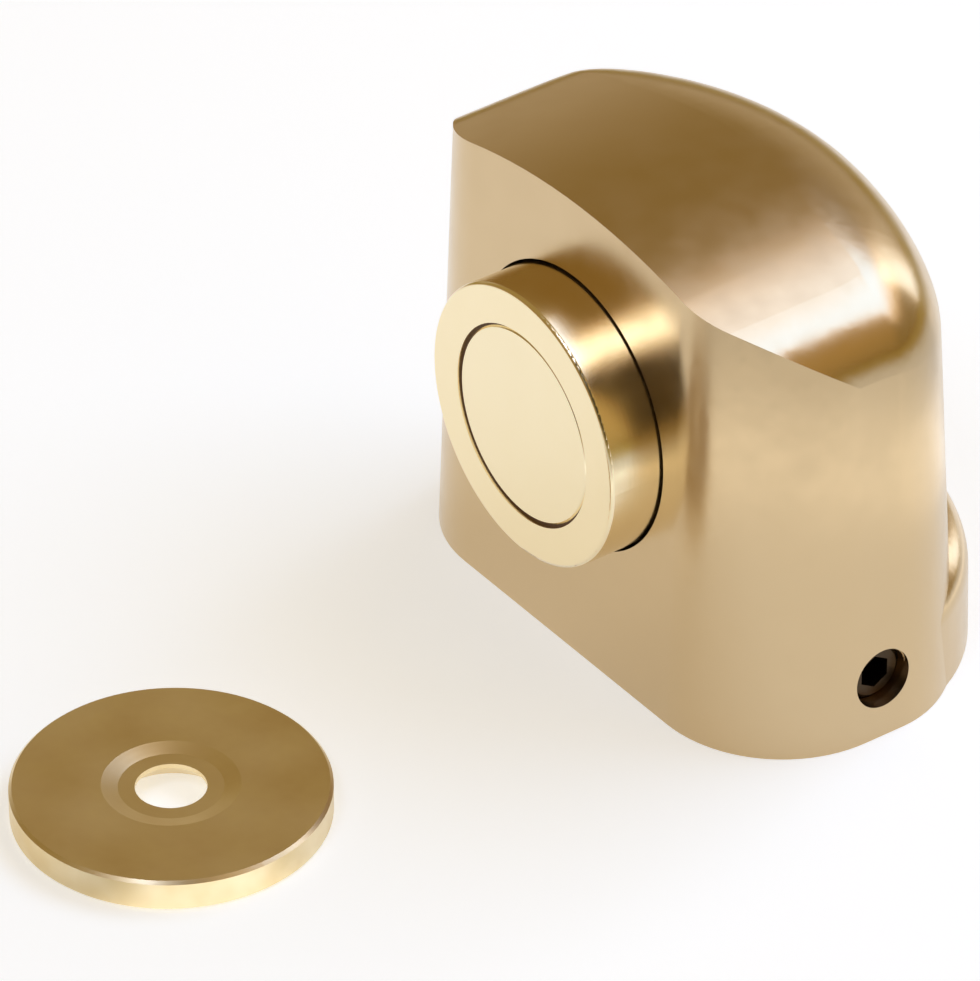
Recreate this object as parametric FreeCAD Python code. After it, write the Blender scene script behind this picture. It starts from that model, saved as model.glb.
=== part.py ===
import FreeCAD
import Part
import math
import os
from FreeCAD import Vector as V

os.makedirs("parts", exist_ok=True)

# Magnetic door stop for the floor, with the keeper disc that goes on the door.
# Millimetres. +Z is up from the floor, the front face looks along -Y, +X is to its right.
# The origin is the middle of the two floor screw holes, on the floor.

# Housing, outside
HALF_WIDTH = 24.5          # half the width at the foot
FRONT_DEPTH = 14.7         # front face to the widest line, at the foot
REAR_DEPTH = 14.7          # widest line to the rear wall, at the foot
CORNER_R = 11.0            # plan radius of the two front corners
SIDE_DRAFT_DEG = 3.4
FRONT_DRAFT_DEG = 1.1
ROOF_FRONT_HEIGHT = 41.1   # height of the arched front edge in the middle
ROOF_CROWN_R = 59.0        # the roof is part of a long cylinder
ROOF_RISE_DEG = 0.8        # the roof climbs a little to the rear
SIDE_ROUND_R = 6.8         # roof edge along the sides
REAR_ROUND_R = 10.8        # roof edge at the middle of the rear
REAR_SPAN_DEG = 50         # the elliptical rear is drawn in two spans, which meet here

# Heel, the low step round the rear of the foot
HEEL_REAR_DEPTH = 17.9
HEEL_SIDE_INSET = 0.8      # the heel leaves the side wall this far inside it
HEEL_HEIGHT = 9.2
HEEL_TOP_R = 3.0
HEEL_DRAFT_DEG = 1.5
HEEL_RUN_IN = 2.0          # its ends start this far in front of the widest line, inside the wall

# Housing, inside
WALL = 2.8
ROOF_THICKNESS = 3.0
COLLAR_WALL = 1.8          # round the magnet's bore
COLLAR_LENGTH = 5.0        # from the front face
RIB_THICKNESS = 3.0        # carries the guide bush
RIB_FOOT_Z = 10.8
BOSS_WIDTH = 9.0           # pads inside the two side walls, low down
BOSS_HEIGHT = 9.2
BOSS_REACH = 2.6

# Magnet head
AXIS_Z = 22.5
CUP_R = 11.75
CUP_PROUD = 4.7            # the cup stands out of the front face at rest
CUP_LENGTH = 9.0
CUP_BACK = 3.4             # thickness of the cup's back
CUP_EDGE_R = 0.3
BORE_CLEARANCE = 0.25
DISC_R = 8.2
DISC_RECESS = 0.15
DISC_EDGE = 0.15
GAP_WIDTH = 0.25           # dark ring between disc and cup
GAP_RECESS = 0.3
TRAVEL = 2.5               # the head gives way this far when the door meets it

# Plunger behind the cup
STEM_R = 3.0
SPIGOT_R = 2.0
STEM_TAIL = 1.3            # stem behind the clip
STEM_TIP = 0.5
BUSH_CLEARANCE = 0.05
BUSH_WALL = 1.5
BUSH_FLANGE_R = 6.0
BUSH_FLANGE = 1.0
BUSH_TAIL = 0.5            # bush behind the rib
SPRING_WIRE = 0.8
SPRING_TURNS = 4.5
SPRING_RESERVE = 0.1       # left between the coils when the head is pushed fully in
SPRING_STEM_CLEARANCE = 0.8
SEAT_GAP = 0.05            # between faces that meet and part as the head moves
WASHER_THICKNESS = 0.6
WASHER_R = 5.6
CLIP_THICKNESS = 0.7
CLIP_R = 4.6
CLIP_MOUTH = 3.4
GROOVE_R = 2.2

# Base plate, grub screw
PLATE_THICKNESS = 2.0
PLATE_CLEARANCE = 0.35
SCREW_SPACING = 16.0
SCREW_HOLE_R = 2.25
SCREW_HEAD_R = 4.1
LUG_THICKNESS = 2.5
LUG_WIDTH = 8.0
LUG_HEIGHT = 9.0
LUG_GAP = 3.2              # between the lug and the pad on the wall
TONGUE_THICKNESS = 1.5
TONGUE_WIDTH = 6.0
TONGUE_Z = 5.2
TONGUE_BITE = 1.4
TONGUE_CLEARANCE = 0.2
GRUB_OVER_PLATE = 0.8      # free height under the grub screw
GRUB_R = 2.5
GRUB_CLEARANCE = 0.05
GRUB_SUNK = 1.1            # below the wall's face
GRUB_POINT_R = 1.6
GRUB_POINT = 1.5
GRUB_EDGE = 0.4
GRUB_SOCKET_AF = 2.5
GRUB_SOCKET_DEPTH = 2.6

# Keeper disc, lying on the floor in front
KEEPER_R = 12.5
KEEPER_THICKNESS = 2.7
KEEPER_HOLE_R = 2.8
KEEPER_HOLE_LENGTH = 0.4   # straight part of the hole
KEEPER_DISH_R = 5.4        # shallow dish round the hole, on the side that shows
KEEPER_DISH_SLOPE = 1.3    # width of its sloping rim, round a flat floor
KEEPER_DISH_DEPTH = 0.3
KEEPER_EDGE = 0.25
KEEPER_DISTANCE = 37.5     # its centre in front of the front face

EPS = 0.001
Y_AXIS = V(0, 1, 0)
front_y = -FRONT_DEPTH
# Beyond the housing, in front or behind, and above its roof
reach = FRONT_DEPTH + REAR_DEPTH
block_top = ROOF_FRONT_HEIGHT + 8


def slope(degrees):
    return math.tan(math.radians(degrees))


def behind(depth):
    """Y of a point that lies this far behind the front face at the foot."""
    return front_y + depth


# The front face leans back, so this is where it stands at the height of the magnet
face_y = front_y + AXIS_Z * slope(FRONT_DRAFT_DEG)


def plan_arc(centre_x, centre_y, z, radius_x, radius_y, start, end):
    """Part of an ellipse in plan, angles in degrees anticlockwise from +X."""
    centre = V(centre_x, centre_y, z)
    if abs(radius_x - radius_y) < EPS:
        curve = Part.Circle(centre, V(0, 0, 1), radius_x)
        turn = 0
    elif radius_x > radius_y:
        curve = Part.Ellipse(centre + V(radius_x, 0, 0), centre + V(0, radius_y, 0), centre)
        turn = 0
    else:
        curve = Part.Ellipse(centre + V(0, radius_y, 0), centre - V(radius_x, 0, 0), centre)
        turn = -90
    return Part.Edge(curve, math.radians(start + turn), math.radians(end + turn))


def insets(z, inset):
    """How far the side walls and the front wall stand in at this height."""
    return z * slope(SIDE_DRAFT_DEG) + inset, z * slope(FRONT_DRAFT_DEG) + inset


def front_edges(z, inset):
    """Flat front between two round corners, from the left side to the right side."""
    side_in, front_in = insets(z, inset)
    corner_x = HALF_WIDTH - CORNER_R
    corner_y = front_y + CORNER_R
    radius_x = CORNER_R - side_in
    radius_y = CORNER_R - front_in
    face = front_y + front_in
    return [
        plan_arc(-corner_x, corner_y, z, radius_x, radius_y, 180, 270),
        Part.makeLine(V(-corner_x, face, z), V(corner_x, face, z)),
        plan_arc(corner_x, corner_y, z, radius_x, radius_y, -90, 0),
    ]


def front_outline(z, inset):
    """The front, with straight sides that end behind the housing."""
    half = HALF_WIDTH - insets(z, inset)[0]
    corner_y = front_y + CORNER_R
    return Part.Wire(front_edges(z, inset) + [
        Part.makeLine(V(half, corner_y, z), V(half, reach, z)),
        Part.makeLine(V(half, reach, z), V(-half, reach, z)),
        Part.makeLine(V(-half, reach, z), V(-half, corner_y, z)),
    ])


def foot_outline(inset):
    """The whole plan at the floor: front, short straight sides and the elliptical rear."""
    half = HALF_WIDTH - inset
    corner_y = front_y + CORNER_R
    return Part.Wire(front_edges(0, inset) + [
        Part.makeLine(V(half, corner_y, 0), V(half, 0, 0)),
        plan_arc(0, 0, 0, half, REAR_DEPTH - inset, 0, 180),
        Part.makeLine(V(-half, 0, 0), V(-half, corner_y, 0)),
    ])


def tail_half_outline(z, inset):
    """The +X half: a straight side that starts in front of the housing, then the elliptical rear."""
    side_in = insets(z, inset)[0]
    half = HALF_WIDTH - side_in
    rear = REAR_DEPTH - side_in
    return Part.Wire([
        Part.makeLine(V(0, -reach, z), V(half, -reach, z)),
        Part.makeLine(V(half, -reach, z), V(half, 0, z)),
        plan_arc(0, 0, z, half, rear, 0, REAR_SPAN_DEG),
        plan_arc(0, 0, z, half, rear, REAR_SPAN_DEG, 90),
        Part.makeLine(V(0, rear, z), V(0, -reach, z)),
    ])


def roof_cylinder(radius):
    """The long cylinder under whose skin the roof lies."""
    along = V(0, math.cos(math.radians(ROOF_RISE_DEG)), math.sin(math.radians(ROOF_RISE_DEG)))
    on_axis = V(0, front_y, ROOF_FRONT_HEIGHT - ROOF_CROWN_R)
    roof = Part.makeCylinder(radius, 4 * reach, on_axis - along * 2 * reach, along)
    # The cylinder's seam goes underneath
    roof.rotate(on_axis, along, 90)
    return roof


def tail_radius(end, rear_end):
    """Radius of the roof's edge: it grows from the widest line to the middle of the rear."""
    return SIDE_ROUND_R + (REAR_ROUND_R - SIDE_ROUND_R) * max(0, end.y / rear_end)


def rounded_tail(inset, roof_drop, foot_z):
    """Block under the crowned roof, with its round roof edge."""
    block = Part.makeLoft([tail_half_outline(foot_z, inset), tail_half_outline(block_top, inset)], True, True)
    roof_r = ROOF_CROWN_R - roof_drop
    block = block.common(roof_cylinder(roof_r))
    crown = None
    for face in block.Faces:
        if face.Surface.TypeId == "Part::GeomCylinder" and abs(face.Surface.Radius - roof_r) < EPS:
            crown = face
    document = FreeCAD.newDocument()
    plain = document.addObject("Part::Feature", "Block")
    plain.Shape = block
    rounded = document.addObject("Part::Fillet", "RoofEdge")
    rounded.Base = plain
    radii = []
    rear_end = crown.BoundBox.YMax
    for number, edge in enumerate(block.Edges, start=1):
        ends = [edge.valueAt(edge.FirstParameter), edge.valueAt(edge.LastParameter)]
        on_roof = any(edge.isSame(roof_edge) for roof_edge in crown.Edges)
        on_middle = max(end.x for end in ends) < EPS
        on_front = max(end.y for end in ends) < EPS - reach
        if on_roof and not on_middle and not on_front:
            radii.append((number, *[tail_radius(end, rear_end) - inset for end in ends]))
    rounded.Edges = radii
    document.recompute()
    half = rounded.Shape
    return half.fuse(half.mirror(V(0, 0, 0), V(1, 0, 0))).removeSplitter()


def drafted_block(inset, roof_drop, foot_z):
    """The round tail, cut off by the flat front and its round corners, which leaves a sharp edge."""
    front = Part.makeLoft([front_outline(foot_z, inset), front_outline(block_top, inset)], True, True)
    return rounded_tail(inset, roof_drop, foot_z).common(front).removeSplitter().Solids[0]


def heel_outline(z, inset, depth_in):
    half = HALF_WIDTH - HEEL_SIDE_INSET - inset - depth_in
    rear = HEEL_REAR_DEPTH - inset - depth_in
    return Part.Wire([
        plan_arc(0, 0, z, half, rear, 0, 180),
        Part.makeLine(V(-half, 0, z), V(-half, -HEEL_RUN_IN, z)),
        Part.makeLine(V(-half, -HEEL_RUN_IN, z), V(half, -HEEL_RUN_IN, z)),
        Part.makeLine(V(half, -HEEL_RUN_IN, z), V(half, 0, z)),
    ])


def heel_block(inset, top, foot_z, round_r):
    block = Part.makeLoft([
        heel_outline(foot_z, inset, foot_z * slope(HEEL_DRAFT_DEG)),
        heel_outline(top, inset, top * slope(HEEL_DRAFT_DEG)),
    ], True, True)
    edges = [edge for edge in block.Edges
             if edge.BoundBox.ZMin > top - EPS and edge.BoundBox.YMax > 1]
    return block.makeFillet(round_r, edges)


def tube_y(outer, inner, start, end, axis_z=AXIS_Z):
    """Ring or rod along Y, on the magnet's axis."""
    solid = Part.makeCylinder(outer, end - start, V(0, start, axis_z), Y_AXIS)
    if inner > 0:
        solid = solid.cut(Part.makeCylinder(inner, end - start + 2, V(0, start - 1, axis_z), Y_AXIS))
    return solid


def box_between(x0, x1, y0, y1, z0, z1):
    return Part.makeBox(x1 - x0, y1 - y0, z1 - z0, V(x0, y0, z0))


def box_beside(x0, x1, width, z0, z1):
    """Box across the middle of the straight sides, where the housing is fixed."""
    return box_between(x0, x1, side_middle_y - width / 2, side_middle_y + width / 2, z0, z1)


def rod_x(radius, start, end):
    """Rod along X on the grub screw's axis."""
    return Part.makeCylinder(radius, end - start, V(start, side_middle_y, grub_z), V(1, 0, 0))


def revolve_y(points):
    """Solid of revolution about the magnet's axis from (radius, y) points."""
    corners = [V(radius, y, AXIS_Z) for radius, y in points]
    face = Part.Face(Part.makePolygon(corners + corners[:1]))
    return face.revolve(V(0, 0, AXIS_Z), Y_AXIS, 360)


# Places along the magnet's axis
spring_space = SPRING_WIRE * (SPRING_TURNS + 1) + SPRING_RESERVE + TRAVEL
cup_front = face_y - CUP_PROUD
cup_rear = cup_front + CUP_LENGTH
recess_floor = cup_rear - CUP_BACK
flange_front = cup_rear + spring_space
rib_front = flange_front + BUSH_FLANGE
rib_rear = rib_front + RIB_THICKNESS
bush_rear = rib_rear + BUSH_TAIL
washer_front = bush_rear + SEAT_GAP
clip_front = washer_front + WASHER_THICKNESS
clip_rear = clip_front + CLIP_THICKNESS
stem_end = clip_rear + STEM_TAIL
bore_r = CUP_R + BORE_CLEARANCE
bush_bore_r = STEM_R + BUSH_CLEARANCE
bush_r = bush_bore_r + BUSH_WALL

# Places across the foot, from the side walls inwards
wall_inner_x = HALF_WIDTH - WALL
pad_x = wall_inner_x - BOSS_REACH
lug_outer_x = pad_x - LUG_GAP
lug_inner_x = lug_outer_x - LUG_THICKNESS
grub_z = PLATE_THICKNESS + GRUB_OVER_PLATE + GRUB_R
side_middle_y = (front_y + CORNER_R) / 2    # between the front corner and the widest line


def make_housing():
    outer = drafted_block(0, 0, 0)
    heel = heel_block(0, HEEL_HEIGHT, 0, HEEL_TOP_R)
    shell = outer.fuse(heel)
    cavity = drafted_block(WALL, ROOF_THICKNESS, -1)
    heel_cavity = heel_block(WALL, HEEL_HEIGHT - WALL, -1, HEEL_TOP_R - WALL / 2)
    shell = shell.cut(cavity).cut(heel_cavity)
    collar = tube_y(bore_r + COLLAR_WALL, 0, behind(WALL / 2), face_y + COLLAR_LENGTH)
    rib = box_between(-HALF_WIDTH, HALF_WIDTH, rib_front, rib_rear, RIB_FOOT_Z, block_top)
    inside = drafted_block(WALL / 2, ROOF_THICKNESS / 2, 0)
    rib = rib.common(inside)
    pads = [
        box_beside(pad_x, wall_inner_x + WALL / 2, BOSS_WIDTH, 0, BOSS_HEIGHT),
        box_beside(-wall_inner_x - WALL / 2, -pad_x, BOSS_WIDTH, 0, BOSS_HEIGHT),
    ]
    shell = shell.fuse([collar, rib] + pads)
    bore = tube_y(bore_r, 0, behind(-2), face_y + COLLAR_LENGTH + 1)
    bush_hole = tube_y(bush_r, 0, rib_front - 1, rib_rear + 1)
    grub_hole = rod_x(GRUB_R + GRUB_CLEARANCE, pad_x - 1, HALF_WIDTH + 1)
    slot = box_beside(
        -pad_x - TONGUE_BITE - 2 * TONGUE_CLEARANCE, -pad_x + 1, TONGUE_WIDTH + 2 * TONGUE_CLEARANCE,
        TONGUE_Z - TONGUE_CLEARANCE, TONGUE_Z + TONGUE_THICKNESS + TONGUE_CLEARANCE)
    for tool in (bore, bush_hole, grub_hole, slot):
        shell = shell.cut(tool)
    return shell.removeSplitter()


def make_cup():
    cup = revolve_y([
        (SPIGOT_R, recess_floor),
        (DISC_R + GAP_WIDTH, recess_floor),
        (DISC_R + GAP_WIDTH, cup_front),
        (CUP_R, cup_front),
        (CUP_R, cup_rear),
        (SPIGOT_R, cup_rear),
    ])
    rims = [edge for edge in cup.Edges
            if edge.Curve.TypeId == "Part::GeomCircle" and abs(edge.Curve.Radius - CUP_R) < EPS]
    return cup.makeFillet(CUP_EDGE_R, rims)


def make_disc():
    front = cup_front + DISC_RECESS
    return revolve_y([
        (0, front),
        (DISC_R - DISC_EDGE, front),
        (DISC_R, front + DISC_EDGE),
        (DISC_R, recess_floor),
        (0, recess_floor),
    ])


def make_gap_ring():
    return tube_y(DISC_R + GAP_WIDTH, DISC_R, cup_front + GAP_RECESS, recess_floor)


def make_stem():
    return revolve_y([
        (0, recess_floor),
        (SPIGOT_R, recess_floor),
        (SPIGOT_R, cup_rear),
        (STEM_R, cup_rear),
        (STEM_R, clip_front),
        (GROOVE_R, clip_front),
        (GROOVE_R, clip_rear),
        (STEM_R, clip_rear),
        (STEM_R, stem_end - STEM_TIP),
        (STEM_R - STEM_TIP, stem_end),
        (0, stem_end),
    ])


def make_bush():
    flange = tube_y(BUSH_FLANGE_R, bush_bore_r, flange_front, rib_front)
    return flange.fuse(tube_y(bush_r, bush_bore_r, rib_front, bush_rear)).removeSplitter()


def make_spring():
    """Round wire coiled between the cup and the bush, its coils clear of the stem."""
    coil_r = STEM_R + SPRING_STEM_CLEARANCE + SPRING_WIRE / 2
    height = spring_space - SPRING_WIRE - 2 * SEAT_GAP
    helix = Part.makeHelix(height / SPRING_TURNS, height, coil_r)
    section = Part.Wire(Part.makeCircle(SPRING_WIRE / 2, V(coil_r, 0, 0), V(0, 1, 0)))
    coil = Part.Wire(helix).makePipeShell([section], True, True)
    coil.rotate(V(0, 0, 0), V(1, 0, 0), -90)
    coil.translate(V(0, cup_rear + SEAT_GAP + SPRING_WIRE / 2, AXIS_Z))
    return coil


def make_washer():
    return tube_y(WASHER_R, bush_bore_r, washer_front, clip_front)


def make_clip():
    ring = tube_y(CLIP_R, GROOVE_R, clip_front, clip_rear)
    mouth = box_between(-CLIP_MOUTH / 2, CLIP_MOUTH / 2, clip_front - 1, clip_rear + 1, AXIS_Z, AXIS_Z + CLIP_R + 1)
    return ring.cut(mouth)


def make_base_plate():
    inset = WALL + PLATE_CLEARANCE
    outline = foot_outline(inset + PLATE_THICKNESS * slope(SIDE_DRAFT_DEG))
    plate = Part.Face(outline).extrude(V(0, 0, PLATE_THICKNESS))
    for side in (-1, 1):
        notch = box_beside(pad_x - PLATE_CLEARANCE, HALF_WIDTH, BOSS_WIDTH + 2 * PLATE_CLEARANCE,
                           -1, PLATE_THICKNESS + 1)
        lug = box_beside(lug_inner_x, lug_outer_x, LUG_WIDTH, 0, LUG_HEIGHT)
        if side < 0:
            notch = notch.mirror(V(0, 0, 0), V(1, 0, 0))
            lug = lug.mirror(V(0, 0, 0), V(1, 0, 0))
        plate = plate.cut(notch).fuse(lug)
    tongue = box_beside(-pad_x - TONGUE_BITE, -lug_inner_x, TONGUE_WIDTH,
                        TONGUE_Z, TONGUE_Z + TONGUE_THICKNESS)
    plate = plate.fuse(tongue)
    for side in (-1, 1):
        x = side * SCREW_SPACING / 2
        hole = Part.makeCylinder(SCREW_HOLE_R, PLATE_THICKNESS + 2, V(x, 0, -1))
        depth = SCREW_HEAD_R - SCREW_HOLE_R
        sink = Part.makeCone(SCREW_HOLE_R, SCREW_HEAD_R, depth, V(x, 0, PLATE_THICKNESS - depth))
        plate = plate.cut(hole).cut(sink)
    point_hole = rod_x(GRUB_POINT_R + 2 * GRUB_CLEARANCE, lug_inner_x - 1, lug_outer_x + 1)
    return plate.cut(point_hole).removeSplitter()


def make_grub_screw():
    outer_end = HALF_WIDTH - grub_z * slope(SIDE_DRAFT_DEG) - GRUB_SUNK
    shoulder = lug_outer_x + 2 * GRUB_CLEARANCE
    body = rod_x(GRUB_R, shoulder, outer_end)
    rims = [edge for edge in body.Edges if edge.Curve.TypeId == "Part::GeomCircle"]
    body = body.makeChamfer(GRUB_EDGE, rims)
    point = rod_x(GRUB_POINT_R, shoulder - GRUB_POINT, shoulder + 1)
    corner = GRUB_SOCKET_AF / 2 / math.cos(math.radians(30))
    corners = []
    for step in range(7):
        angle = math.radians(60 * step + 30)
        across = side_middle_y + corner * math.cos(angle)
        corners.append(V(outer_end - GRUB_SOCKET_DEPTH, across, grub_z + corner * math.sin(angle)))
    socket = Part.Face(Part.makePolygon(corners)).extrude(V(GRUB_SOCKET_DEPTH + 1, 0, 0))
    return body.fuse(point).cut(socket).removeSplitter()


def make_keeper():
    """Blanked disc: a shallow dish above, the screw head's countersink below."""
    centre_y = front_y - KEEPER_DISTANCE
    hole_top = KEEPER_THICKNESS - KEEPER_DISH_DEPTH
    hole_foot = hole_top - KEEPER_HOLE_LENGTH
    sink_r = KEEPER_HOLE_R + hole_foot
    profile = [
        (sink_r, 0),
        (KEEPER_R - KEEPER_EDGE, 0),
        (KEEPER_R, KEEPER_EDGE),
        (KEEPER_R, KEEPER_THICKNESS - KEEPER_EDGE),
        (KEEPER_R - KEEPER_EDGE, KEEPER_THICKNESS),
        (KEEPER_DISH_R, KEEPER_THICKNESS),
        (KEEPER_DISH_R - KEEPER_DISH_SLOPE, hole_top),
        (KEEPER_HOLE_R, hole_top),
        (KEEPER_HOLE_R, hole_foot),
    ]
    corners = [V(radius, centre_y, z) for radius, z in profile]
    face = Part.Face(Part.makePolygon(corners + corners[:1]))
    return face.revolve(V(0, centre_y, 0), V(0, 0, 1), 360)


pieces = {
    "housing": make_housing(),
    "magnet_cup": make_cup(),
    "magnet_disc": make_disc(),
    "gap_ring": make_gap_ring(),
    "plunger_stem": make_stem(),
    "guide_bush": make_bush(),
    "buffer_spring": make_spring(),
    "thrust_washer": make_washer(),
    "retaining_clip": make_clip(),
    "base_plate": make_base_plate(),
    "grub_screw": make_grub_screw(),
    "keeper_disc": make_keeper(),
}

for name, shape in pieces.items():
    print(name, shape.isValid(), len(shape.Solids), round(shape.Volume, 1), shape.BoundBox)
    shape.exportStep("parts/" + name + ".step")
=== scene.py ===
# %% [markdown]
# A magnetic door stop and its keeper disc.
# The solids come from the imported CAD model, and this script gives them their finishes, the floor,
# the light and the camera. A metal shows what stands round it more than it shows its own colour,
# so most of the work is in what the brass reflects and in how much each finish blurs it.
# Lengths are in metres, and MM turns millimetres into them.

# %% Load the frame
import math

import bmesh
import bpy
import numpy as np
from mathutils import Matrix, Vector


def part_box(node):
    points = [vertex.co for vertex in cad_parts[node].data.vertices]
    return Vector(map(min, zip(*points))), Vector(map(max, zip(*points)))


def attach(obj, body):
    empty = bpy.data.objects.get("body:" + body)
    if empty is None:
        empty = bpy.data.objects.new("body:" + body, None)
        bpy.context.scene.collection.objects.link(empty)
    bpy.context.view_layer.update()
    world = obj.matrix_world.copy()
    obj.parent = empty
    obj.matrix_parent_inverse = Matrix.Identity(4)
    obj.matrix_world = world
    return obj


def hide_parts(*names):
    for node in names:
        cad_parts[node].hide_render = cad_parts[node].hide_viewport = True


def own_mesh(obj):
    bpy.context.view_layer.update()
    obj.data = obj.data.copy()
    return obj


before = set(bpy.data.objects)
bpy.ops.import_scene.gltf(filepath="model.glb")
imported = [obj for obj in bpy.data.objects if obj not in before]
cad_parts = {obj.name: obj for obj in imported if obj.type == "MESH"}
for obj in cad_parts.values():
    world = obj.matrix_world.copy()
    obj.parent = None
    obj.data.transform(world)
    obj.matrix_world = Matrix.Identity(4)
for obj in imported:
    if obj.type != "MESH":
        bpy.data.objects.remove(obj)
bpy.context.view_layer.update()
MM = 0.001

# %% [markdown]
# Paint shops and screens name colours in sRGB, which packs dark tones closer than light does.
# Blender's shaders add light, so each hex value is turned into linear light once, here.


# %% Colour helper
def linear(hex_colour):
    """sRGB hex to linear RGBA: below 0.04045 divide by 12.92, above it a power of 2.4."""
    channels = np.array([int(hex_colour[i:i + 2], 16) for i in (1, 3, 5)]) / 255
    low = channels / 12.92
    high = ((channels + 0.055) / 1.055) ** 2.4
    return (*[float(value) for value in np.where(channels <= 0.04045, low, high)], 1.0)


# %% [markdown]
# A material is a small graph. It could be built in a group for each kind of node, but one function
# that takes the kind, its settings and its links keeps every material readable from top to bottom.


# %% Node helper
def add(tree, kind, settings=None, links=None):
    """Adds one node. settings sets sockets by name or properties of the node, links joins sockets."""
    node = tree.nodes.new(kind)
    for name, value in (settings or {}).items():
        if isinstance(name, int) or name in node.inputs:
            node.inputs[name].default_value = value
        else:
            setattr(node, name, value)
    for name, source in (links or {}).items():
        tree.links.new(source, node.inputs[name])
    return node


def new_finish(name):
    """An empty material with its output node, ready for a shader."""
    material = bpy.data.materials.new(name)
    material.use_nodes = True
    material.node_tree.nodes.clear()
    output = add(material.node_tree, "ShaderNodeOutputMaterial")
    return material, material.node_tree, output


# %% [markdown]
# Each finish has a grain, and a grain has a size: the grit of the blasting, the feed of the lathe.
# Object coordinates are in metres, so a Mapping node divides them by the grain's size in millimetres,
# and one step of the pattern then has that size on the part.


# %% Grain helpers
NOISE_MIDDLE = (0.3, 0.7)
BLUR_PATCH_MM = 3.0
BLUR_SPREAD = 0.03
TONE_PATCH_MM = 6.0
LACQUER_BLUR = 0.2


def place_scaled(tree, size_mm, centre=(0, 0, 0)):
    """Object coordinates about a centre, in steps of the size given."""
    where = add(tree, "ShaderNodeTexCoord")
    step = 1 / (size_mm * MM)
    moved = [-value * step for value in centre]
    return add(tree, "ShaderNodeMapping", {"Location": moved, "Scale": (step, step, step)},
               {"Vector": where.outputs["Object"]}).outputs["Vector"]


def grit(tree, size_mm, detail=2):
    """Even grain without direction, as blasting, casting or sintering leaves it."""
    noise = add(tree, "ShaderNodeTexNoise", {"Scale": 1.0, "Detail": detail},
                {"Vector": place_scaled(tree, size_mm)})
    return noise.outputs["Fac"]


def spread(tree, source, low, high):
    """Stretches a pattern's middle range to run from low to high."""
    mapped = add(tree, "ShaderNodeMapRange",
                 {"From Min": NOISE_MIDDLE[0], "From Max": NOISE_MIDDLE[1], "To Min": low,
                  "To Max": high}, {"Value": source})
    return mapped.outputs["Result"]


def metal(name, colour, roughness, height, bump_mm, coat=0.0, tone=None):
    """Metal with its tint, how far it blurs, and the relief of its grain. tone is a second tint
    in broad patches, and coat is the share of a clear lacquer."""
    material, tree, output = new_finish(name)
    relief = add(tree, "ShaderNodeBump", {"Strength": 1.0, "Distance": bump_mm * MM},
                 {"Height": height(tree)})
    blur = spread(tree, grit(tree, BLUR_PATCH_MM), roughness - BLUR_SPREAD, roughness + BLUR_SPREAD)
    shader = add(tree, "ShaderNodeBsdfPrincipled",
                 {"Base Color": linear(colour), "Metallic": 1.0, "Coat Weight": coat,
                  "Coat Roughness": LACQUER_BLUR},
                 {"Normal": relief.outputs["Normal"], "Roughness": blur})
    if tone:
        mixed = add(tree, "ShaderNodeMix", {"data_type": "RGBA", 6: linear(colour), 7: linear(tone)},
                    {0: spread(tree, grit(tree, TONE_PATCH_MM, 3), 0, 1)})
        tree.links.new(mixed.outputs[2], shader.inputs["Base Color"])
    tree.links.new(shader.outputs["BSDF"], output.inputs["Surface"])
    return material


# %% [markdown]
# Turned parts carry the lathe's feed: fine rings about the axis on a face, and fine lines round it on
# a side. The distance from the axis gives the rings exactly, so the pattern needs no image.


# %% Lathe feed
RINGS_SHARE = 0.5
cup_low, cup_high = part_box("magnet_cup")
AXIS_Z = (cup_low[2] + cup_high[2]) / 2
keeper_low, keeper_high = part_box("keeper_disc")
KEEPER_Y = (keeper_low[1] + keeper_high[1]) / 2
print("magnet axis at z", round(AXIS_Z / MM, 2), "mm, keeper at y", round(KEEPER_Y / MM, 2), "mm")


def lathe_feed(pitch_mm, along_y):
    """Height = half the sine of the distance from the axis, plus the sine of the place along it."""
    def height(tree):
        centre = (0, 0, AXIS_Z) if along_y else (0, KEEPER_Y, 0)
        place = place_scaled(tree, pitch_mm / (2 * math.pi), centre)
        flatten = (1, 0, 1) if along_y else (1, 1, 0)
        flat = add(tree, "ShaderNodeVectorMath", {"operation": "MULTIPLY", 1: flatten}, {0: place})
        radius = add(tree, "ShaderNodeVectorMath", {"operation": "LENGTH"}, {0: flat.outputs[0]})
        parts = add(tree, "ShaderNodeSeparateXYZ", None, {0: place})
        along = parts.outputs["Y"] if along_y else parts.outputs["Z"]
        rings = add(tree, "ShaderNodeMath", {"operation": "SINE"}, {0: radius.outputs["Value"]})
        lines = add(tree, "ShaderNodeMath", {"operation": "SINE"}, {0: along})
        both = add(tree, "ShaderNodeMath", {"operation": "MULTIPLY_ADD", 1: RINGS_SHARE},
                   {0: rings.outputs[0], 2: lines.outputs[0]})
        return both.outputs[0]
    return height


# %% [markdown]
# The housing is a brass casting, blasted to an even satin and lacquered. The blasting is finer than a
# pixel, so it is given as blur, which turns what the metal mirrors into soft bands. The relief is the
# slow waviness that polishing by hand leaves, and the lacquer adds a faint clear gloss.

# %% Satin cast brass
satin_brass = metal("cast_brass_satin_lacquered", "#D5BC93", 0.24,
                    lambda tree: grit(tree, 6.0, 0), 0.02, coat=0.15)

# %% [markdown]
# The pot of the magnet is turned brass. Its ring face is finer than the casting and mirrors the
# pale floor, so it looks lighter. The disc inside is plated steel with the same kind of face.

# %% Turned brass and plated disc
turned_brass = metal("brass_fine_turned", "#FCECC4", 0.23, lathe_feed(0.5, True), 0.0002,
                     coat=0.4)
plated_disc = metal("steel_brass_plated", "#FCEECA", 0.24, lathe_feed(0.5, True), 0.0002)

# %% [markdown]
# The keeper is a blanked steel disc, brass plated and brushed dull. Its face mirrors the dim part of
# the room, so it looks deeper than the magnet's plating, with broad patches of two tints.

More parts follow.
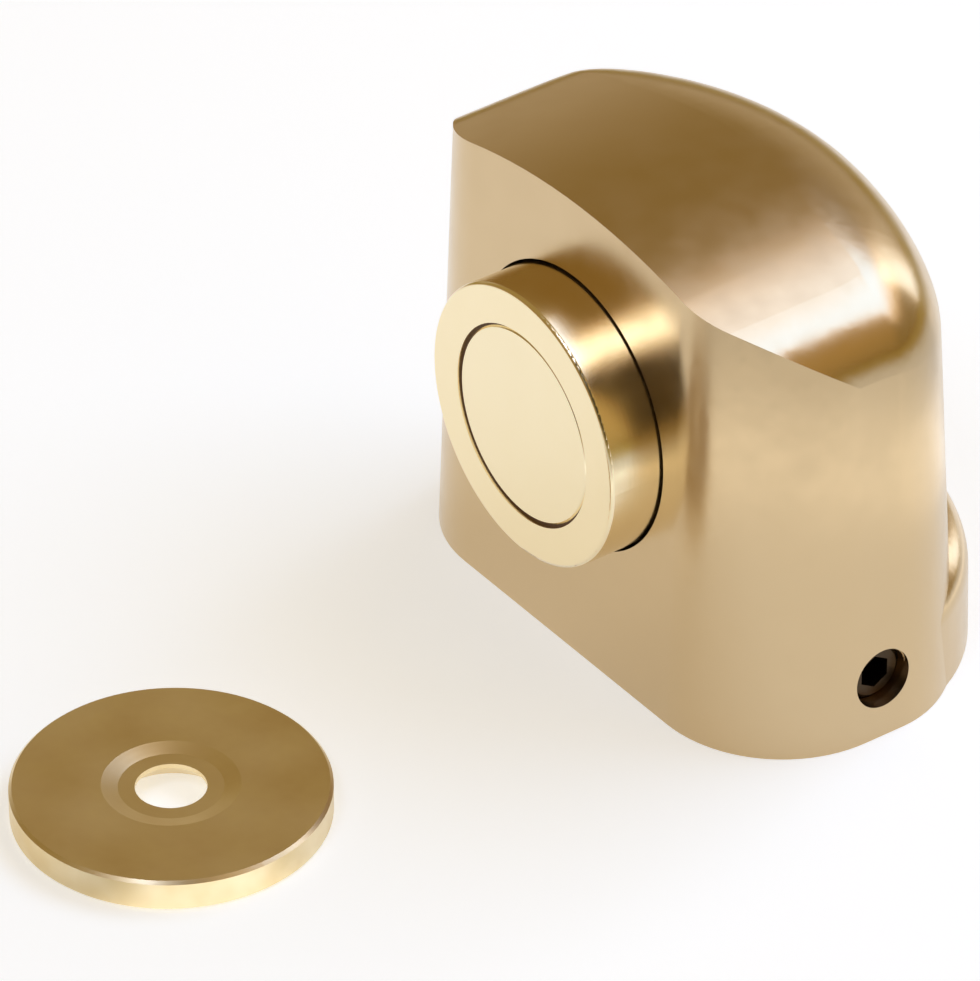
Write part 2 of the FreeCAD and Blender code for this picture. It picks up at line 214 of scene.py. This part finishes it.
# %% Plated keeper
keeper_brass = metal("steel_plated_satin_keeper", "#F9E9C4", 0.34, lathe_feed(0.6, False), 0.001,
                     tone="#E6CF9C")


# %% [markdown]
# The black grub screw has a thin oxide layer over steel. The resin between disc and cup is a dull
# cast polymer. The inner pieces keep the plain finishes of their trade.

# %% Dark and inner finishes
RESIN_GRAIN_MM = 0.3
RESIN_RELIEF = 0.003 * MM


def polymer(name, colour, roughness):
    """Dull cast resin: a plain dielectric with its default IOR and a fine grit."""
    material, tree, output = new_finish(name)
    relief = add(tree, "ShaderNodeBump", {"Strength": 1.0, "Distance": RESIN_RELIEF},
                 {"Height": grit(tree, RESIN_GRAIN_MM)})
    shader = add(tree, "ShaderNodeBsdfPrincipled",
                 {"Base Color": linear(colour), "Roughness": roughness},
                 {"Normal": relief.outputs["Normal"]})
    tree.links.new(shader.outputs["BSDF"], output.inputs["Surface"])
    return material


dark_resin = polymer("epoxy_resin_dark", "#6B4C2C", 0.6)
black_oxide = metal("steel_black_oxide", "#4C3F30", 0.35, lambda tree: grit(tree, 0.3), 0.003)
turned_steel = metal("steel_turned", "#BEBEBE", 0.24, lathe_feed(0.3, True), 0.002)
sintered_bronze = metal("bronze_sintered", "#A4763F", 0.42, lambda tree: grit(tree, 0.25), 0.006)
drawn_wire = metal("spring_steel_drawn", "#A6A6AA", 0.31, lambda tree: grit(tree, 0.4), 0.002)
zinc_plate = metal("steel_zinc_plated", "#C4C6C8", 0.32, lambda tree: grit(tree, 1.2), 0.004)

# %% Give each solid its finish
finishes = {
    "housing": satin_brass,
    "magnet_cup": turned_brass,
    "magnet_disc": plated_disc,
    "gap_ring": dark_resin,
    "plunger_stem": turned_steel,
    "guide_bush": sintered_bronze,
    "buffer_spring": drawn_wire,
    "thrust_washer": turned_steel,
    "retaining_clip": drawn_wire,
    "base_plate": zinc_plate,
    "grub_screw": black_oxide,
    "keeper_disc": keeper_brass,
}
for node_name, finish in finishes.items():
    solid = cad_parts[node_name]
    solid.data.materials.clear()
    solid.data.materials.append(finish)
print(len(finishes), "solids have a finish")


# %% [markdown]
# The threaded hole for the grub screw is a plain bore in the solid, because a thread is too fine for
# the solid model. Its first turns show in the mouth, so they are made here as a ridge that runs round
# the bore on a helix.


# %% Surface helpers
JOIN_DISTANCE = 0.0001 * MM


def surface(name, points, material):
    """Mesh from a grid of points, rows by columns, one quad between four neighbours."""
    rows, columns = points.shape[:2]
    index = np.arange(rows * columns).reshape(rows, columns)
    quads = np.stack([index[:-1, :-1], index[:-1, 1:], index[1:, 1:], index[1:, :-1]], axis=-1)
    mesh = bpy.data.meshes.new(name)
    mesh.from_pydata(points.reshape(-1, 3).tolist(), [], quads.reshape(-1, 4).tolist())
    mesh.update()
    mesh.polygons.foreach_set("use_smooth", np.ones(len(mesh.polygons), dtype=bool))
    piece = bpy.data.objects.new(name, mesh)
    bpy.context.scene.collection.objects.link(piece)
    mesh.materials.append(material)
    return piece


def close_up(piece):
    """Joins the points that meet, fills what is still open and turns every face outwards."""
    shell = bmesh.new()
    shell.from_mesh(piece.data)
    bmesh.ops.remove_doubles(shell, verts=shell.verts, dist=JOIN_DISTANCE)
    open_edges = [edge for edge in shell.edges if edge.is_boundary]
    bmesh.ops.holes_fill(shell, edges=open_edges, sides=0)
    bmesh.ops.recalc_face_normals(shell, faces=shell.faces)
    shell.to_mesh(piece.data)
    shell.free()


# %% Thread in the mouth of the hole
screw_low, screw_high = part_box("grub_screw")
hole_y = (screw_low[1] + screw_high[1]) / 2
hole_z = (screw_low[2] + screw_high[2]) / 2
BORE_R = 2.55 * MM
PITCH = 0.8 * MM
THREAD_DEPTH = 0.3 * MM
THREAD_ROOT = 0.02 * MM
THREAD_FLANK = 0.4 * PITCH
THREAD_START = screw_high[0] + 0.45 * PITCH
THREAD_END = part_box("housing")[1][0] - 0.75 * MM
THREAD_RUN_OUT = 1 / 6
THREAD_STEPS = 90


def bore_thread():
    """Triangle section carried along a helix: radius by the section, x by the turn. Its crest
    runs out over part of a turn at both ends."""
    turns = (THREAD_END - THREAD_START) / PITCH
    turn = np.linspace(0, turns, THREAD_STEPS)[:, None]
    section_x = np.array([-THREAD_FLANK, 0.0, THREAD_FLANK, -THREAD_FLANK])
    section_r = np.array([THREAD_ROOT, -THREAD_DEPTH, THREAD_ROOT, THREAD_ROOT])
    fade = np.clip(np.minimum(turn, turns - turn) / THREAD_RUN_OUT, 0, 1)
    radius = BORE_R + np.where(section_r < 0, section_r * fade, section_r)
    angle = 2 * math.pi * turn
    x = THREAD_START + turn * PITCH + section_x
    return np.stack([x, hole_y + radius * np.cos(angle), hole_z + radius * np.sin(angle)], axis=-1)


thread = surface("hole_thread", bore_thread(), satin_brass)
close_up(thread)
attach(thread, "stop")
print("thread of", len(thread.data.polygons), "faces")

# %% [markdown]
# The spring behind the magnet is one rigid solid in the frame, and a real one shortens when the door
# pushes the magnet in. A coil of the same wire and turns takes its place, on a mesh of its own. Its
# section is a circle carried along a helix, drawn together at both ends to close the wire.

# %% Coil spring
spring_low, spring_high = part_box("buffer_spring")
WIRE_R = 0.4 * MM
SPRING_TURNS = 4.5
COIL_STEPS = 260
WIRE_STEPS = 15
WIRE_TIP = 1 / 120
spring_length = spring_high[1] - spring_low[1]


def coil_spring():
    """Place along the helix plus the wire's circle, which lies in the plane through the axis."""
    coil_r = spring_high[0] - WIRE_R
    along = np.linspace(0, 1, COIL_STEPS)[:, None]
    around = np.linspace(0, 2 * math.pi, WIRE_STEPS)[None, :]
    wire_r = WIRE_R * np.sqrt(np.clip(np.minimum(along, 1 - along) / WIRE_TIP, 0, 1))
    angle = 2 * math.pi * SPRING_TURNS * along
    radius = coil_r + wire_r * np.cos(around)
    rise = (spring_length - 2 * WIRE_R) * along
    y = spring_low[1] + WIRE_R + rise + wire_r * np.sin(around)
    return np.stack([radius * np.cos(angle), y, AXIS_Z - radius * np.sin(angle)], axis=-1)


spring = surface("coil_spring", coil_spring(), drawn_wire)
close_up(spring)
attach(spring, "stop")
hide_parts("buffer_spring")
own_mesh(spring)

# %% [markdown]
# The floor is a pale sheet that runs far behind, as in a photographer's cove. The camera sees it white
# without an end, and it keeps the object's soft shadow. The satin metal mirrors it much larger, and
# there, in reflections only, light and shade are painted onto it. On the right of the stop it has painted
# shade close by, where the stop's own shadow falls, a painted pool of light in a ring, and dim beyond.
# That gives the near wall its faint arc. Further off, the mirrored floor fades to unlit and takes a
# painted warm tint.

# %% Floor
FLOOR_REACH = 4.0
CARD_TINT = "#E4E8E2"
CARD_LIFT = 0.5
FAR_LIFT = 0.96
FAR_FROM = 0.25
FAR_TO = 1.6
PAINTED_FAR_TINT = "#C8B058"
MIRROR_FADE_START = 0.088
MIRROR_FADE_END = 0.22
POOL_CENTRE = (21 * MM, -8 * MM, 0)
POOL_SIDE = (-5 * MM, 10 * MM)
POOL_INNER = 42 * MM
POOL_OUTER = 57 * MM
POOL_EDGE = 3 * MM
POOL_LOW = 0.42
POOL_HIGH = 0.83
POOL_PAST = 0.25


def floor_sheet():
    """Flat sheet, one corner of the grid at each corner of the floor."""
    across = np.linspace(-FLOOR_REACH, FLOOR_REACH, 3)
    x, y = np.meshgrid(across, across)
    return np.stack([x, y, 0 * x], axis=-1)


def floor_card_and_painted_light():
    """Matt card. Its lift is the white that the lamps alone don't give, by distance on the floor.
    Reflections alone see painted light and shade: a painted pool of light with painted shade close to the
    stop, a fade to unlit past a given distance, and a painted warm tint there."""
    material, tree, output = new_finish("card_white_painted_pool")
    seen = add(tree, "ShaderNodeLightPath")
    where = add(tree, "ShaderNodeTexCoord")

    def away(centre):
        offset = add(tree, "ShaderNodeVectorMath", {"operation": "SUBTRACT", 1: centre},
                     {0: where.outputs["Object"]})
        return add(tree, "ShaderNodeVectorMath", {"operation": "LENGTH"},
                   {0: offset.outputs[0]}).outputs["Value"]

    def step(source, start, end, low, high):
        return add(tree, "ShaderNodeMapRange",
                   {"interpolation_type": "SMOOTHSTEP", "From Min": start, "From Max": end,
                    "To Min": low, "To Max": high}, {"Value": source}).outputs["Result"]

    def times(first, second):
        return add(tree, "ShaderNodeMath", {"operation": "MULTIPLY"}, {0: first, 1: second}).outputs[0]

    # Painted shade and a painted pool of light, seen only in reflections on the right of the stop: darker
    # close by, where the stop's own shadow falls, brightest in a ring, and dim beyond.
    round_pool = away(POOL_CENTRE)
    ring = times(step(round_pool, POOL_INNER - POOL_EDGE, POOL_INNER + POOL_EDGE, POOL_LOW, POOL_HIGH),
                 step(round_pool, POOL_OUTER - POOL_EDGE, POOL_OUTER + POOL_EDGE, 1.0, POOL_PAST))
    parts = add(tree, "ShaderNodeSeparateXYZ", None, {0: where.outputs["Object"]})
    pool = add(tree, "ShaderNodeMix", {2: CARD_LIFT},
               {0: step(parts.outputs["X"], *POOL_SIDE, 0.0, 1.0), 3: ring})
    from_stop = away((0, 0, 0))
    # Painted reflection: past a given distance the mirrored floor fades to unlit, and beyond it takes a
    # warm painted tint.
    mirrored_reach = step(from_stop, MIRROR_FADE_START, MIRROR_FADE_END, 1.0, 0.0)
    mirrored = times(seen.outputs["Is Glossy Ray"], mirrored_reach)
    shown = times(seen.outputs["Is Camera Ray"],
                  step(from_stop, FAR_FROM, FAR_TO, CARD_LIFT, FAR_LIFT))
    past = add(tree, "ShaderNodeMath", {"operation": "SUBTRACT"},
               {0: seen.outputs["Is Glossy Ray"], 1: mirrored})
    tint = add(tree, "ShaderNodeMix", {"data_type": "RGBA", 6: linear(CARD_TINT), 7: linear(PAINTED_FAR_TINT)},
               {0: past.outputs[0]})
    card = add(tree, "ShaderNodeBsdfDiffuse", None, {"Color": tint.outputs[2]})
    lift = add(tree, "ShaderNodeMath", {"operation": "MAXIMUM"},
               {0: shown, 1: times(mirrored, pool.outputs[0])})
    glow = add(tree, "ShaderNodeEmission", None, {"Strength": lift.outputs[0]})
    both = add(tree, "ShaderNodeAddShader", None, {0: card.outputs[0], 1: glow.outputs[0]})
    tree.links.new(both.outputs[0], output.inputs["Surface"])
    return material


floor = surface("floor", floor_sheet(), floor_card_and_painted_light())

# %% [markdown]
# The room above the floor is dim and warm, which is what the roof of the housing and the keeper's face
# mirror. It is paler low down behind on the left, where a wall would stand, darkest in front on the
# right, and glows a little between that and the window. The soft boxes are cool against that warmth,
# as daylight is, and the two together leave the floor neutral. The camera itself sees plain paper
# above the floor's end.

# %% Room
ROOM_DIM = "#98814E"
ROOM_PALE = "#CDBEA4"
ROOM_DARK = "#3A3222"
ROOM_GLOW = "#C2A266"
PAPER = "#FCFCFC"
PALE_SIDE = (-0.65, 0.62, -0.9)
DARK_SIDE = (0.76, -0.49, 0.42)
GLOW_SIDE = (0.85, 0.23, 0.47)
PALE_REACH = (0.3, 0.95)
DARK_REACH = (0.7, 0.95)
GLOW_REACH = (0.8, 0.97)


def make_room():
    """Sky by direction: a dot product tells how far a direction points to a side."""
    world = bpy.data.worlds.new("room")
    bpy.context.scene.world = world
    world.use_nodes = True
    tree = world.node_tree
    tree.nodes.clear()
    output = add(tree, "ShaderNodeOutputWorld")
    where = add(tree, "ShaderNodeTexCoord")

    def toward(side, reach):
        closeness = add(tree, "ShaderNodeVectorMath", {"operation": "DOT_PRODUCT", 1: side},
                        {0: where.outputs["Generated"]})
        share = add(tree, "ShaderNodeMapRange", {"From Min": reach[0], "From Max": reach[1]},
                    {"Value": closeness.outputs["Value"]})
        return share.outputs["Result"]

    pale = add(tree, "ShaderNodeMix", {"data_type": "RGBA", 6: linear(ROOM_DIM), 7: linear(ROOM_PALE)},
               {0: toward(PALE_SIDE, PALE_REACH)})
    dark = add(tree, "ShaderNodeMix", {"data_type": "RGBA", 7: linear(ROOM_DARK)},
               {0: toward(DARK_SIDE, DARK_REACH), 6: pale.outputs[2]})
    tint = add(tree, "ShaderNodeMix", {"data_type": "RGBA", 7: linear(ROOM_GLOW)},
               {0: toward(GLOW_SIDE, GLOW_REACH), 6: dark.outputs[2]})
    sky = add(tree, "ShaderNodeBackground", None, {"Color": tint.outputs[2]})
    seen = add(tree, "ShaderNodeLightPath")
    paper = add(tree, "ShaderNodeBackground", {"Color": linear(PAPER)})
    either = add(tree, "ShaderNodeMixShader", None,
                 {0: seen.outputs["Is Camera Ray"], 1: sky.outputs[0], 2: paper.outputs[0]})
    tree.links.new(either.outputs[0], output.inputs["Surface"])


make_room()

# %% [markdown]
# Lamps and camera are placed by two angles round the object: the azimuth from the magnet's side
# towards the grub screw's, and the elevation over the floor.


# %% Placing by angles
def bearing(azimuth, elevation):
    """Unit vector out from the object: sine and cosine of the azimuth, drawn in by the elevation."""
    a, e = math.radians(azimuth), math.radians(elevation)
    return np.array([math.sin(a) * math.cos(e), -math.cos(a) * math.cos(e), math.sin(e)])


def look_back(azimuth, elevation):
    """Rotation that turns a lamp or camera at that bearing towards the object."""
    return math.radians(90) - math.radians(elevation), 0, math.radians(azimuth)


# %% [markdown]
# The wide window box stands behind to the right, and it makes the white band on the shoulder. The
# strip beside it lights the rear rim. The front box is what the magnet's side shows by way of the
# housing's front.

# %% Soft boxes
EDGE_TONE = "#FFDA9A"
BOX_DISTANCE = 0.9


def soft_box(name, azimuth, elevation, width, height, radiance, colour, fade):
    """Area lamp that faces the object, brightest in the middle. fade is the share of each half
    over which its width and its height fall off, from the lamp's colour to a warm edge."""
    lamp = bpy.data.lights.new(name, "AREA")
    lamp.shape = "RECTANGLE"
    lamp.size = width
    lamp.size_y = height
    lamp.energy = radiance * width * height * math.pi
    lamp.use_nodes = True
    tree = lamp.node_tree
    tree.nodes.clear()
    output = add(tree, "ShaderNodeOutputLight")
    place = add(tree, "ShaderNodeNewGeometry")
    parts = add(tree, "ShaderNodeSeparateXYZ", None, {0: place.outputs["Parametric"]})

    def inside(source, share):
        off = add(tree, "ShaderNodeMath", {"operation": "SUBTRACT", 1: 0.5}, {0: source})
        far = add(tree, "ShaderNodeMath", {"operation": "ABSOLUTE"}, {0: off.outputs[0]})
        rim = add(tree, "ShaderNodeMapRange",
                  {"interpolation_type": "SMOOTHSTEP", "From Min": 0.5, "From Max": 0.5 - share / 2},
                  {"Value": far.outputs[0]})
        return rim.outputs["Result"]

    both = add(tree, "ShaderNodeMath", {"operation": "MULTIPLY"},
               {0: inside(parts.outputs[0], fade[0]), 1: inside(parts.outputs[1], fade[1])})
    tone = add(tree, "ShaderNodeMix", {"data_type": "RGBA", 6: linear(EDGE_TONE), 7: linear(colour)},
               {0: both.outputs[0]})
    shine = add(tree, "ShaderNodeEmission", None, {"Color": tone.outputs[2], "Strength": both.outputs[0]})
    tree.links.new(shine.outputs[0], output.inputs["Surface"])
    holder = bpy.data.objects.new(name, lamp)
    holder.location = bearing(azimuth, elevation) * BOX_DISTANCE
    holder.rotation_euler = look_back(azimuth, elevation)
    holder.visible_camera = False
    bpy.context.scene.collection.objects.link(holder)


soft_box("window_box", azimuth=166, elevation=51, width=0.96, height=1.22, radiance=3.3,
         colour="#A2C4FF", fade=(0.25, 0.85))
soft_box("window_strip", azimuth=190, elevation=12, width=0.30, height=0.80, radiance=2.2,
         colour="#D0E2FF", fade=(0.5, 0.4))
soft_box("front_box", azimuth=24, elevation=56, width=0.42, height=0.38, radiance=5.8,
         colour="#BED2FF", fade=(0.5, 0.5))

# %% [markdown]
# The camera stands far off with a long lens, because the photograph shows almost parallel edges.
# Its place and lens were fitted to the rims of the keeper and the magnet and to the outline.

# %% Camera
AZIMUTH = 54.07
ELEVATION = 35.26
DISTANCE = 678.8 * MM
AIM = np.array([0, -4.7, 18.0]) * MM
SIDEWAYS = 13.976 * MM
UPWARDS = 6.147 * MM
LENS_MM = 317.87
SENSOR_MM = 36.0
CLIP_NEAR = 0.01
CLIP_FAR = 50


def place_camera():
    """Back along the view direction, then aside and down, so that the object stands as it does there."""
    back = bearing(AZIMUTH, ELEVATION)
    right = bearing(AZIMUTH + 90, 0)
    up = np.cross(back, right)
    data = bpy.data.cameras.new("camera")
    data.lens = LENS_MM
    data.sensor_width = SENSOR_MM
    data.clip_start = CLIP_NEAR
    data.clip_end = CLIP_FAR
    camera = bpy.data.objects.new("camera", data)
    camera.location = AIM + back * DISTANCE - right * SIDEWAYS - up * UPWARDS
    camera.rotation_euler = look_back(AZIMUTH, ELEVATION)
    bpy.context.scene.collection.objects.link(camera)
    bpy.context.scene.camera = camera


place_camera()
bpy.context.scene.view_settings.view_transform = "Standard"
